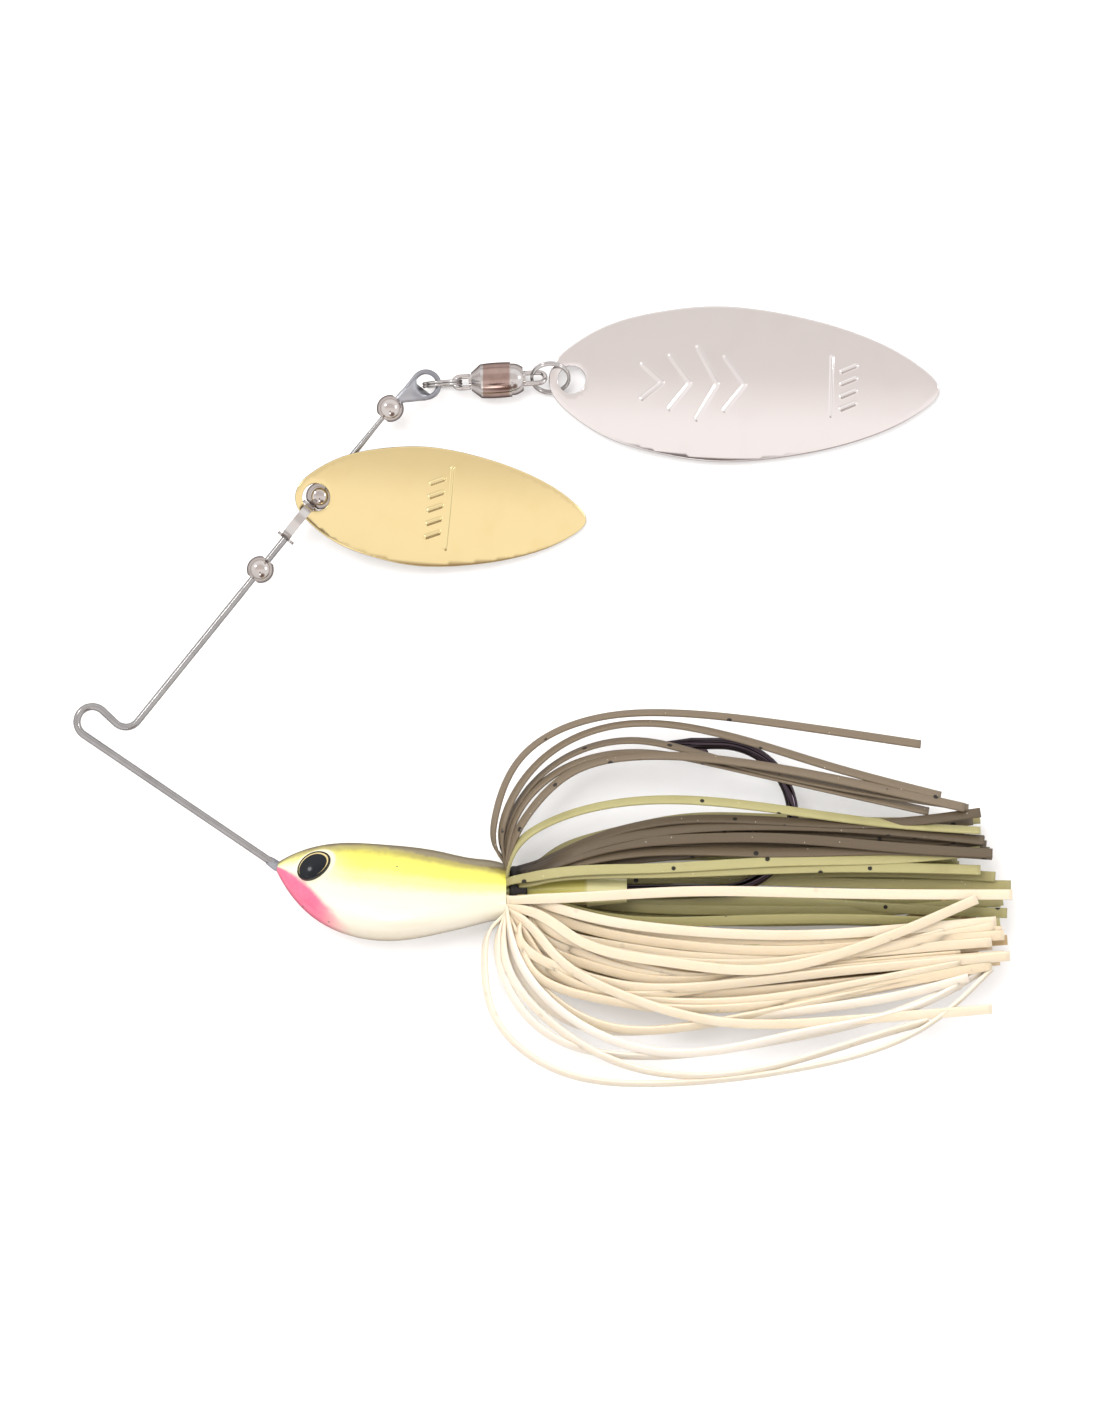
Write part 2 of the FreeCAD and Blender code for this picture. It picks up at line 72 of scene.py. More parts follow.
COLLAR = middle("skirt_band")
loop_reach = 1.96               # outer radius of the wire's top loop
LOOP_CENTRE = Vector((*(v / MM - loop_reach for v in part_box("wire_frame")[1].xy), COLLAR.z))

eye_long = 2.35                 # half length of the oval
eye_short = 1.65
eye_turn = 35.0                 # long axis, from the head's axis
eye_facing = (-0.262, 0.448, 1.0)
eye_stand = 0.85                # top of the dome above the flat of the head
eye_dome = 4.6                  # radius of the dome


def eye_frame(node, side):
    """Frame of an eye, on the upper (side 1) or lower (side -1) face, found from its CAD dome."""
    normal = Vector((eye_facing[0], eye_facing[1], side)).normalized()
    apex = max((v.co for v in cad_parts[node].data.vertices), key=lambda co: co.dot(normal))
    along = (cos(radians(eye_turn)), sin(radians(eye_turn)), 0)
    return frame_of(along, normal, apex / MM - normal * eye_stand)


# Node trees --------------------------------------------------------------------------------
def put(tree, kind, sockets=None, **properties):
    """Adds a node; sockets gives inputs, by name or number, a value or another node's output."""
    item = tree.nodes.new(kind)
    for name, value in properties.items():
        setattr(item, name, value)
    for key, value in (sockets or {}).items():
        if isinstance(value, bpy.types.NodeSocket):
            tree.links.new(value, item.inputs[key])
        else:
            item.inputs[key].default_value = value
    return item


def math(tree, operation, *values, clamp=False):
    """Output of a Math node on one to three values or outputs."""
    sockets = dict(enumerate(values))
    return put(tree, "ShaderNodeMath", sockets, operation=operation, use_clamp=clamp).outputs[0]


def ramp(tree, factor, stops, ease="EASE"):
    """Colours along a factor; stops are (place, colour)."""
    item = put(tree, "ShaderNodeValToRGB", {0: factor})
    item.color_ramp.interpolation = ease
    elements = item.color_ramp.elements
    while len(elements) < len(stops):
        elements.new(0.5)
    for element, (place, colour) in zip(elements, stops):
        element.position = place
        element.color = colour if len(colour) == 4 else (*colour, 1)
    return item.outputs[0]


def fade(tree, value, low, high):
    """0 below low, 1 above high, smooth between."""
    sockets = {"Value": value, "From Min": low, "From Max": high}
    return put(tree, "ShaderNodeMapRange", sockets, interpolation_type="SMOOTHSTEP").outputs[0]


def mix(tree, factor, first, second, blend="MIX"):
    """Colour between two colours, or one laid over the other with another blend."""
    sockets = {0: factor, 6: first, 7: second}
    return put(tree, "ShaderNodeMix", sockets, data_type="RGBA", blend_type=blend).outputs[2]


def noise(tree, where, scale, detail=3.0, rough=0.5):
    """Grey noise, its scale in lumps per metre."""
    sockets = {"Vector": where, "Scale": scale, "Detail": detail, "Roughness": rough}
    return put(tree, "ShaderNodeTexNoise", sockets).outputs[0]


def bump(tree, height, strength, distance):
    """Normal roughened by a height, which counts for a distance in metres."""
    sockets = {"Height": height, "Strength": strength, "Distance": distance}
    return put(tree, "ShaderNodeBump", sockets).outputs[0]


def new_material(name, **settings):
    """Principled material with plain settings; returns it with its tree, shader and place."""
    material = bpy.data.materials.new(name)
    material.use_nodes = True
    tree = material.node_tree
    shader = tree.nodes["Principled BSDF"]
    for key, value in settings.items():
        shader.inputs[key.replace("_", " ").title().replace("Ior", "IOR")].default_value = value
    where = put(tree, "ShaderNodeTexCoord").outputs["Object"]
    return material, tree, shader, where


def feed(tree, shader, **links):
    """Links outputs to the shader's inputs, named like them with underscores."""
    for key, output in links.items():
        tree.links.new(output, shader.inputs[key.replace("_", " ").title()])


def srgb(code):
    """Linear colour from a six-figure hexadecimal code, as it should look under the studio lights."""
    parts = [int(code[i:i + 2], 16) / 255 for i in (0, 2, 4)]
    return tuple(((p + 0.055) / 1.055) ** 2.4 / light_level for p in parts) + (1.0,)


# Materials ---------------------------------------------------------------------------------
def metal(name, colour, shade, rough, cloudy=1.0, grain=900.0, relief=0.05):
    """Plated or bare metal: clouded colour, uneven polish and fine handling marks."""
    material, tree, shader, where = new_material(name, metallic=1.0)
    cloud = noise(tree, where, 260.0, 4.0)
    marks = noise(tree, where, grain * 3, 2.0, 0.7)
    spread = 0.35 * cloudy
    polish = put(tree, "ShaderNodeMapRange", {
        "Value": cloud, "To Min": rough * (1 - spread), "To Max": rough * (1 + spread)})
    dull = math(tree, "MULTIPLY", fade(tree, cloud, 0.45, 0.8), cloudy)
    feed(tree, shader, base_color=mix(tree, dull, colour, shade),
         roughness=polish.outputs[0], normal=bump(tree, marks, relief, 0.00002))
    return material


def swivel_metal():
    """Bright nickel with a rosy band round the middle of the barrel, which is a painted reflection."""
    material, tree, shader, where = new_material("swivel_nickel", metallic=1.0, roughness=0.13)
    low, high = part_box("swivel_barrel")
    x = put(tree, "ShaderNodeSeparateXYZ", {0: where}).outputs[0]
    cone = fade(tree, x, low.x + 1.5 * MM, low.x + 1.6 * MM)
    rim = fade(tree, x, high.x - 0.15 * MM, high.x - 0.5 * MM)
    band = math(tree, "MULTIPLY", cone, rim)
    cloud = noise(tree, where, 900.0, 4.0)
    # painted reflection: the rosy, darker colour of the band
    painted_reflection = mix(tree, cloud, srgb("c9b0a7"), srgb("a58b82"))
    bright = mix(tree, cloud, srgb("ebe7e5"), srgb("c8c1be"))
    lathe = put(tree, "ShaderNodeMapping", {"Vector": where, "Scale": (9, 1, 1)}).outputs[0]
    turned = noise(tree, lathe, 1200.0)
    feed(tree, shader, base_color=mix(tree, band, bright, painted_reflection), normal=bump(tree, turned, 0.10, 0.00002))
    return material


def wire_metal():
    """Drawn spring wire, dull and bluish where its top loop is tinned."""
    material, tree, shader, where = new_material("spring_wire", metallic=1.0)
    reach = put(tree, "ShaderNodeVectorMath", {0: where, 1: LOOP_CENTRE * MM}, operation="DISTANCE")
    tinned = fade(tree, reach.outputs["Value"], 3.7 * MM, 3.2 * MM)
    cloud = noise(tree, where, 420.0, 4.0)
    drawn = mix(tree, cloud, srgb("c9c8c8"), srgb("9d9b9b"))
    coated = mix(tree, cloud, srgb("bcbec5"), srgb("8e9098"))
    feed(tree, shader, base_color=mix(tree, tinned, drawn, coated),
         roughness=math(tree, "MULTIPLY_ADD", tinned, 0.14, 0.22),
         normal=bump(tree, noise(tree, where, 900.0, 3.0), 0.12, 0.00003))
    return material


def painted_head():
    """Airbrushed fish: taupe back, chartreuse flank, cream belly, pink throat, pale eye ring."""
    material, tree, shader, where = new_material(
        "head_paint", roughness=0.28, coat_weight=0.8, coat_roughness=0.06, specular_ior_level=0.5)
    xyz = put(tree, "ShaderNodeSeparateXYZ", {0: where})
    x, y, z = (math(tree, "DIVIDE", xyz.outputs[i], MM) for i in range(3))
    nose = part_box("head")[0].x / MM
    tail = COLLAR.x - 1.55
    reach = 8.0                 # the outline curves stand for this far below to above the hook axis
    along = put(tree, "ShaderNodeMapRange", {"Value": x, "From Min": nose, "From Max": tail}).outputs[0]

    def outline(points):
        """Height of the head's back or belly, above its hook axis, from places along its length."""
        curve = put(tree, "ShaderNodeFloatCurve", {"Value": along})
        line = curve.mapping.curves[0]
        while len(line.points) < len(points):
            line.points.new(0.5, 0.5)
        for point, (place, height) in zip(line.points, points):
            point.location = (place, (height + reach) / (2 * reach))
        curve.mapping.update()
        return math(tree, "MULTIPLY_ADD", curve.outputs[0], 2 * reach, COLLAR.y - reach)

    back = outline([(0.0, 3.2), (0.11, 5.0), (0.3, 6.0), (0.43, 5.85), (0.72, 4.85), (1.0, 3.2)])
    belly = outline([(0.0, 2.4), (0.11, -2.2), (0.3, -5.65), (0.43, -6.4), (0.72, -5.5), (1.0, -3.7)])
    grain = noise(tree, where, 900.0, 5.0, 0.6)
    drift = math(tree, "MULTIPLY_ADD", grain, 0.08, -0.04)
    share = math(tree, "DIVIDE", math(tree, "SUBTRACT", y, belly), math(tree, "SUBTRACT", back, belly))
    share = math(tree, "ADD", share, drift)
    wide = math(tree, "MULTIPLY", fade(tree, along, 0.40, 0.90), 0.085)
    flank = ramp(tree, math(tree, "ADD", share, wide), [
        (0.0, srgb("e6dac0")), (0.14, srgb("f3ebd6")), (0.30, srgb("fcf9e4")), (0.50, srgb("fdfcd2")),
        (0.66, srgb("f8f698")), (0.79, srgb("f0ed62")), (0.88, srgb("e3dc58")), (0.955, srgb("b1a654")),
        (1.0, srgb("857959"))])
    pale = math(tree, "MULTIPLY", fade(tree, along, 0.36, 0.12), fade(tree, share, 1.0, 0.7))
    flank = mix(tree, math(tree, "MULTIPLY", pale, 0.85), flank, srgb("fbf8da"))
    mirrored = math(tree, "ADD", math(tree, "ABSOLUTE", math(tree, "SUBTRACT", z, COLLAR.z)), COLLAR.z)
    flat = put(tree, "ShaderNodeCombineXYZ", {0: x, 1: y, 2: mirrored}).outputs[0]
    eye = eye_frame("eye_left", 1)
    socket = put(tree, "ShaderNodeMapping", {
        "Vector": flat, "Location": eye.translation, "Rotation": eye.to_euler(),
        "Scale": (eye_long, eye_short, 40.0)}, vector_type="TEXTURE").outputs[0]
    ring = put(tree, "ShaderNodeVectorMath", {0: socket}, operation="LENGTH").outputs["Value"]
    flank = mix(tree, fade(tree, ring, 1.38, 1.15), flank, srgb("f9f5d2"))
    lip = math(tree, "SUBTRACT", 0.72, math(tree, "MULTIPLY", along, 2.0))
    throat = math(tree, "MULTIPLY", fade(tree, math(tree, "SUBTRACT", share, lip), 0.06, -0.08),
                  fade(tree, along, 0.36, 0.16))
    flank = mix(tree, throat, flank, mix(tree, grain, srgb("f4487c"), srgb("fc7f9e")))
    keeper = mix(tree, fade(tree, x, COLLAR.x + 8.2, COLLAR.x + 8.9), srgb("ddd474"), srgb("f2ecae"))
    flank = mix(tree, fade(tree, x, COLLAR.x - 1.3, COLLAR.x - 0.9), flank, keeper)
    specks = put(tree, "ShaderNodeTexVoronoi", {"Vector": where, "Scale": 260.0, "Randomness": 1.0})
    flank = mix(tree, fade(tree, specks.outputs["Distance"], 0.045, 0.03), flank, srgb("6a5f52"))
    feed(tree, shader, base_color=flank,
         normal=bump(tree, noise(tree, where, 700.0, 2.0), 0.12, 0.00004))
    return material


def silicone(name, colour, shade, flecks, clear, cloudy):
    """Soft rubber strand: mottled, slightly clear, with pigment flecks and mould grain.

    The attribute strand_tone goes from the colour at 0 to the shade at 1, below 0 to a paler tone,
    painted light that comes through thin strands, and above 1 to near black, painted shade at the roots.
    """
    material, tree, shader, where = new_material(
        name, roughness=0.42, specular_ior_level=0.45, subsurface_weight=clear, subsurface_scale=0.0006,
        subsurface_radius=(0.55, 0.7, 1.0))
    cloud = math(tree, "MULTIPLY", fade(tree, noise(tree, where, 160.0, 4.0), 0.35, 0.7), cloudy)
    strand = put(tree, "ShaderNodeAttribute", attribute_name="strand_tone").outputs["Fac"]
    tone = mix(tree, math(tree, "MAXIMUM", cloud, strand, clamp=True), colour, shade)
    # strand_tone below 0 paints light: a paler tone where light comes through thin strands
    tone = mix(tree, fade(tree, strand, 0.0, -1.0), tone, srgb("fffbf5"))
    # strand_tone above 1 paints shade: near black at the roots by the collar
    tone = mix(tree, math(tree, "MULTIPLY", fade(tree, strand, 1.0, 2.0), 0.85), tone, srgb("17120d"))
    dots = put(tree, "ShaderNodeTexVoronoi", {"Vector": where, "Scale": 330.0, "Randomness": 1.0})
    dark = math(tree, "MULTIPLY", fade(tree, dots.outputs["Distance"], 0.125, 0.095), flecks)
    tone = mix(tree, dark, tone, srgb("1d1812"))
    # small pale specks: painted glints
    sparks = put(tree, "ShaderNodeTexVoronoi", {"Vector": where, "Scale": 800.0, "Randomness": 1.0})
    glint = math(tree, "MULTIPLY", fade(tree, sparks.outputs["Distance"], 0.06, 0.04), 0.7)
    tone = mix(tree, glint, tone, srgb("f4efdc"))
    feed(tree, shader, base_color=tone, normal=bump(tree, noise(tree, where, 2600.0, 3.0), 0.25, 0.00005))
    return material


def rubber(name, colour, shade):
    """Matt black rubber, clouded and slightly rough to the touch."""
    material, tree, shader, where = new_material(name, roughness=0.55, specular_ior_level=0.4)
    cloud = noise(tree, where, 1200.0, 4.0)
    feed(tree, shader, base_color=mix(tree, cloud, colour, shade),
         normal=bump(tree, noise(tree, where, 3500.0, 3.0), 0.3, 0.00006))
    return material


def enamel(name, colour, shade, rough):
    """Printed or lacquered detail of the eye under its clear dome."""
    material, tree, shader, where = new_material(
        name, roughness=rough, specular_ior_level=0.15, coat_weight=0.25, coat_roughness=0.08)
    cloud = noise(tree, where, 1500.0, 4.0)
    feed(tree, shader, base_color=mix(tree, cloud, colour, shade),
         normal=bump(tree, cloud, 0.05, 0.00003))
    return material


MATERIALS = {
    "spring_wire": wire_metal(),
    "tin_solder": metal("tin_solder", srgb("c6c8ce"), srgb("96989f"), 0.34, grain=500.0, relief=0.3),
    "nickel_bead": metal("nickel_bead", srgb("dbd3cf"), srgb("b5aaa4"), 0.07),
    "nickel_clevis": metal("nickel_clevis", srgb("dfdad7"), srgb("b5ada9"), 0.12),
    "gold_plate": metal("gold_plate", srgb("ffeab0"), srgb("f6dc98"), 0.15,
                        cloudy=0.25, grain=300.0, relief=0.02),
    "silver_plate": metal("silver_plate", srgb("f9f4f2"), srgb("efe9e7"), 0.13,
                          cloudy=0.25, grain=300.0, relief=0.02),
    "ring_steel": metal("ring_steel", srgb("d8d5d4"), srgb("a9a5a3"), 0.12),
    "swivel_nickel": swivel_metal(),
    "swivel_ball_steel": metal("swivel_ball_steel", srgb("c9c9cc"), srgb("aaaab0"), 0.10),
    "black_nickel": metal("black_nickel", srgb("544b52"), srgb("38323a"), 0.07, cloudy=0.6, relief=0.02),
    "head_paint": painted_head(),
    "eye_resin": enamel("eye_resin", srgb("080b10"), srgb("161c22"), 0.16),
    "band_rubber": rubber("band_rubber", srgb("14120f"), srgb("2c2827")),
    "silicone_brown": silicone("silicone_brown", srgb("8f806c"), srgb("645642"),
                               flecks=1.0, clear=0.2, cloudy=0.4),
    "silicone_dark": silicone("silicone_dark", srgb("7d6e58"), srgb("4a3e2f"),
                               flecks=1.0, clear=0.15, cloudy=0.4),
    "silicone_olive": silicone("silicone_olive", srgb("bdb682"), srgb("857b48"),
                               flecks=1.0, clear=0.3, cloudy=0.35),
    "silicone_cream": silicone("silicone_cream", srgb("f2e5cd"), srgb("d3b583"),
                               flecks=0.12, clear=0.6, cloudy=0.15),
}


def dress(node):
    """Gives a CAD node the materials that its slots are named after, with or without a number."""
    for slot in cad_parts[node].material_slots:
        slot.material = MATERIALS[slot.material.name.split(".")[0]]


# Meshes ------------------------------------------------------------------------------------
def unit(vectors):
    """Each row divided by its length."""
    return vectors / np.linalg.norm(vectors, axis=-1, keepdims=True)


def smooth_path(points, count, closed=False):
    """Natural cubic spline through points, as count points spaced evenly along it."""
    p = np.array(points, float)
    lead = len(p)
    if closed:
        p = np.concatenate([p, p, p, p[:1]])
    steps = np.linalg.norm(np.diff(p, axis=0), axis=1)
    knots = np.concatenate([[0], np.cumsum(steps)])
    n = len(p)
    system = np.eye(n)
    target = np.zeros_like(p)
    for i in range(1, n - 1):
        system[i, i - 1:i + 2] = steps[i - 1], 2 * (steps[i - 1] + steps[i]), steps[i]
        target[i] = 6 * ((p[i + 1] - p[i]) / steps[i] - (p[i] - p[i - 1]) / steps[i - 1])
    bend = np.linalg.solve(system, target)
    first, last = (knots[lead], knots[2 * lead]) if closed else (knots[0], knots[-1])
    t = np.linspace(first, last, count * 8)
    i = np.clip(np.searchsorted(knots, t, side="right") - 1, 0, n - 2)
    h = steps[i][:, None]
    a = (knots[i + 1] - t)[:, None]
    b = (t - knots[i])[:, None]
    fine = (bend[i] * a ** 3 + bend[i + 1] * b ** 3) / (6 * h)
    fine += (p[i] / h - bend[i] * h / 6) * a + (p[i + 1] / h - bend[i + 1] * h / 6) * b
    length = np.concatenate([[0], np.cumsum(np.linalg.norm(np.diff(fine, axis=0), axis=1))])
    even = np.linspace(0, length[-1], count + 1 if closed else count)
    path = np.stack([np.interp(even, length, fine[:, k]) for k in range(fine.shape[1])], axis=1)
    return path[:-1] if closed else path


def new_piece(name, verts, faces, slot, body):
    """Mesh object from millimetre vertices, in a slot's material, riding on a body."""
    mesh = bpy.data.meshes.new(name)
    mesh.from_pydata([tuple(v) for v in np.array(verts) * MM], [], faces)
    form = bmesh.new()
    form.from_mesh(mesh)
    bmesh.ops.recalc_face_normals(form, faces=form.faces)
    form.to_mesh(mesh)
    form.free()
    mesh.shade_smooth()
    mesh.materials.append(MATERIALS[slot])
    piece = bpy.data.objects.new(name, mesh)
    bpy.context.scene.collection.objects.link(piece)
    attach(piece, body)
    return piece


def tube_faces(rings, sides, start=0):
    """Quads of a tube whose rings follow each other in the vertex list, with end caps."""
    faces = []
    for i in range(rings - 1):
        for k in range(sides):
            a = start + i * sides + k
            b = start + i * sides + (k + 1) % sides
            faces.append((a, b, b + sides, a + sides))
    faces.append(tuple(start + k for k in reversed(range(sides))))
    faces.append(tuple(start + (rings - 1) * sides + k for k in range(sides)))
    return faces


def loops_between(first, second, count):
    """Quads between two loops of the same count, given by their first vertex."""
    faces = []
    for k in range(count):
        after = (k + 1) % count
        faces.append((first + k, first + after, second + after, second + k))
    return faces


# Blades ------------------------------------------------------------------------------------
blade_sheet = 0.5               # thickness
blade_dish = 0.0416             # depth of the dish, across and lengthways, as a part of the width
blade_hole = 1.76               # radius
edge_round = 0.14               # rounding of the sheet's edges
mark_height = 0.20              # stamped ridges
mark_half_width = 0.30
mark_flank = 1.5                # steepness of a ridge's flanks; over 1, its top is flat
rim_points = 420
hole_points = 96
coarse_step = 0.55              # mesh of the plain sheet
fine_step = 0.10                # mesh of the stamped ridges
fine_margin = 0.25              # the fine mesh reaches this far past a ridge
rim_margin = 0.3                # both meshes keep this far from the rims
inside_only = 1                 # triangulation within the rims
same_point = 1e-6               # points this near to each other are one

# Half outline of a willow leaf: part of the length from the round end, part of the half width.
LEAF = [(0.0, 0.0), (0.012, 0.20), (0.06, 0.45), (0.15, 0.72), (0.27, 0.90), (0.43, 1.0),
        (0.60, 0.925), (0.75, 0.755), (0.87, 0.53), (0.95, 0.295), (1.0, 0.0)]


def inset(loop, amount):
    """A closed loop moved to its right: inward for a clockwise rim, outward for a hole."""
    run = unit(np.roll(loop, -1, axis=0) - np.roll(loop, 1, axis=0))
    return loop + np.stack([run[:, 1], -run[:, 0]], axis=1) * amount


def distance_to_lines(points, lines):
    """Distance of each point to the nearest segment of some open lines."""
    nearest = np.full(len(points), 1e9)
    for line in lines:
        for a, b in zip(np.array(line[:-1], float), np.array(line[1:], float)):
            t = np.clip((points - a) @ (b - a) / ((b - a) @ (b - a)), 0, 1)[:, None]
            nearest = np.minimum(nearest, np.linalg.norm(points - a - t * (b - a), axis=1))
    return nearest


def leaf_points(rim, hole, marks):
    """Grid points inside a leaf, close together where it is stamped."""
    low, high = rim.min(axis=0), rim.max(axis=0)
    kept = []
    for step in (coarse_step, fine_step):
        columns, lines = np.meshgrid(np.arange(low[0], high[0], step), np.arange(low[1], high[1], step))
        grid = np.stack([columns.ravel(), lines.ravel()], axis=1)
        upper = rim[rim[:, 1] >= 0]
        upper = upper[np.argsort(upper[:, 0])]
        inside = np.abs(grid[:, 1]) < np.interp(grid[:, 0], upper[:, 0], upper[:, 1])
        grid = grid[inside]
        for loop in (rim, hole):
            apart = np.min(np.linalg.norm(grid[:, None] - loop[None, ::2], axis=2), axis=1)
            grid = grid[apart > rim_margin]
        grid = grid[np.linalg.norm(grid, axis=1) > blade_hole]
        near = distance_to_lines(grid, marks) < mark_half_width + fine_margin
        kept.append(grid[near] if step == fine_step else grid[~near])
    return np.concatenate(kept)


def blade(name, node, slot, body, length, width, hole_inset, heading, pitch, roll, marks):
    """Dished willow leaf of stamped sheet, laid in the box of its CAD node.

    hole_inset is the distance from its round end to the middle of its hole; heading, pitch and roll
    are in degrees, about Z, Y and X.
    """
    half = [(t * length - hole_inset, w * width / 2) for t, w in LEAF]
    rim = smooth_path(half + [(x, -y) for x, y in half[-2:0:-1]], rim_points, closed=True)
    angles = np.linspace(0, 2 * pi, hole_points, endpoint=False)
    hole = np.stack([np.cos(angles), np.sin(angles)], axis=1) * blade_hole
    face_rim = inset(rim, edge_round)
    face_hole = inset(hole, edge_round)
    inner = leaf_points(face_rim, face_hole, marks)
    flat = np.concatenate([face_rim, face_hole, inner])
    r, h = len(rim), len(hole)
    loops = [(k, (k + 1) % r) for k in range(r)] + [(r + k, r + (k + 1) % h) for k in range(h)]
    flat = [Vector(q) for q in flat]
    flat, _, triangles = geometry.delaunay_2d_cdt(flat, loops, [], inside_only, same_point)[:3]
    flat = np.array([tuple(q) for q in flat])
    triangles = [t for t in triangles if min(t) < r or max(t) >= r + h]

    across = width / (8 * blade_dish)
    lengthways = length ** 2 / (8 * blade_dish * width)
    centre = length / 2 - hole_inset

    def surface(points, depth):
        """Points of the dish a depth below its upper side."""
        outer = lengthways - across + np.sqrt((across - depth) ** 2 - points[:, 1] ** 2)
        rise = np.sqrt(outer ** 2 - (points[:, 0] - centre) ** 2) - lengthways
        return np.column_stack([points, rise + centre ** 2 / (2 * lengthways)])

    stamp = np.clip(mark_flank * (1 - distance_to_lines(flat, marks) / mark_half_width), 0, 1)
    stamp = mark_height * stamp * stamp * (3 - 2 * stamp)
    top = surface(flat, 0.0)
    under = surface(flat, blade_sheet)
    top[:, 2] += stamp
    under[:, 2] += stamp
    n = len(flat)
    verts = [top, under]
    faces = [tuple(t) for t in triangles] + [(a + n, c + n, b + n) for a, b, c in triangles]
    total = 2 * n
    quarter = [(edge_round * (1 - sin(t)), edge_round * (1 - cos(t))) for t in (pi / 6, pi / 3, pi / 2)]
    edge = quarter + [(back, blade_sheet - depth) for back, depth in reversed(quarter)]
    for loop, first in ((rim, 0), (hole, r)):
        previous = first
        for back, depth in edge:
            verts.append(surface(inset(loop, back), depth))
            faces += loops_between(previous, total, len(loop))
            previous = total
            total += len(loop)
        faces += loops_between(previous, first + n, len(loop))
    verts = np.concatenate(verts)
    turn = (Matrix.Rotation(radians(heading), 3, "Z") @ Matrix.Rotation(radians(pitch), 3, "Y")
            @ Matrix.Rotation(radians(roll), 3, "X"))
    verts = verts @ np.array(turn).T
    verts += np.array(middle(node)) - (verts.min(axis=0) + verts.max(axis=0)) / 2
    piece = new_piece(name, verts, faces, slot, body)
    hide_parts(node)


def ticks(x, half_span, count, slant, length):
    """A row of short slanted lines, across the blade at x."""
    lines = []
    for i in range(count):
        y = half_span * (2 * i / (count - 1) - 1)
        lines.append([(x - length / 2, y - slant), (x + length / 2, y + slant)])
    return lines


def chevron(x, reach, spread):
    """An arrowhead that points along the blade, with its tip at x."""
    return [(x - reach, spread), (x, 0), (x - reach, -spread)]


GOLD_MARKS = [[(17.0, -5.0), (17.0, 5.2)]] + ticks(15.2, 3.4, 5, 0.35, 1.6)
ARROWS = ((11.5, 2.2), (15.0, 3.4), (18.5, 4.6), (22.0, 3.4))
SILVER_MARKS = [chevron(x, 2.6, spread) for x, spread in ARROWS]
SILVER_MARKS += [[(33.0, -3.6), (33.0, 3.8)]] + ticks(35.2, 2.4, 4, 0.4, 1.8)

blade("gold_leaf", "gold_blade", "gold_plate", "gold_blade",
      length=37.5, width=15.2, hole_inset=2.65, heading=-4.7, pitch=9.2, roll=5.0, marks=GOLD_MARKS)
blade("silver_leaf", "silver_blade", "silver_plate", "silver_blade",
      length=49.8, width=19.8, hole_inset=2.95, heading=-1.6, pitch=1.15, roll=0.0, marks=SILVER_MARKS)


# Split rings -------------------------------------------------------------------------------
ring_radius = 2.36
ring_wire = 0.195               # radius of its wire
ring_pitch = 0.185              # each coil lies this far from the middle plane
crossing = 24.0                 # half the angle in which the wire passes from one coil to the other
end_angle = 10.8                # both ends of the wire stop this angle short of two full turns
ring_step = 3.0                 # angle between the sections of its mesh
cut_end = 0.8                   # part of the wire's radius at its cut ends


def split_ring(name, node, body, normal, cross_at):
    """Two flat turns of wire that lie side by side, joined by a short crossing; its ends are cut."""
    steps = np.radians(np.arange(end_angle, 720 - end_angle, ring_step))
    share = np.clip((np.degrees(steps) - 360 + crossing) / (2 * crossing), 0, 1)
    offset = ring_pitch * (2 * share * share * (3 - 2 * share) - 1)
    x = Vector(normal).orthogonal().normalized()
    matrix = frame_of(x, normal, middle(node))
    angles = steps + radians(cross_at)
    local = np.stack([ring_radius * np.cos(angles), ring_radius * np.sin(angles), offset], axis=1)
    turn = np.array(matrix.to_3x3())
    path = local @ turn.T + np.array(matrix.translation)
    along = unit(np.gradient(path, axis=0))
    out = unit(np.stack([np.cos(angles), np.sin(angles), 0 * angles], axis=1) @ turn.T)
    side = np.cross(along, out)
    sides = 14
    verts, count = [], len(path)
    for k, ((place, a), b) in enumerate(zip(zip(path, out), side)):
        shrink = cut_end if k in (0, count - 1) else 1.0
        for i in range(sides):
            angle = 2 * pi * i / sides
            verts.append(place + (a * cos(angle) + b * sin(angle)) * ring_wire * shrink)
    piece = new_piece(name, verts, tube_faces(count, sides), "ring_steel", body)
    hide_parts(node)


def ring_normal(node):
    """Normal of a CAD ring: the direction in which its vertices spread least."""
    points = np.array([v.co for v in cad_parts[node].data.vertices])
    return tuple(np.linalg.eigh(np.cov(points.T))[1][:, 0])


split_ring("front_split_ring", "front_ring", "front_ring", ring_normal("front_ring"), 200.0)
split_ring("rear_split_ring", "rear_ring", "rear_ring", ring_normal("rear_ring"), 120.0)


# Eyes --------------------------------------------------------------------------------------
CRESCENT = enamel("eye_crescent", srgb("e8d9a0"), srgb("c2a96c"), 0.25)
pupil_size = 0.835              # as a part of the oval
pupil_shift = (-0.11, -0.07)
bed_size = 0.885                # the crescent ends here
PUPIL_RINGS = (0.15, 0.3, 0.45, 0.6, 0.75, 0.9, 1.0)

# Rings of the rim: part of the oval, and height above the dome.
RIM_STATIONS = [(0.90, 0.05), (0.93, 0.10), (0.965, 0.115), (0.99, 0.07), (1.0, -0.02), (1.0, -0.9)]


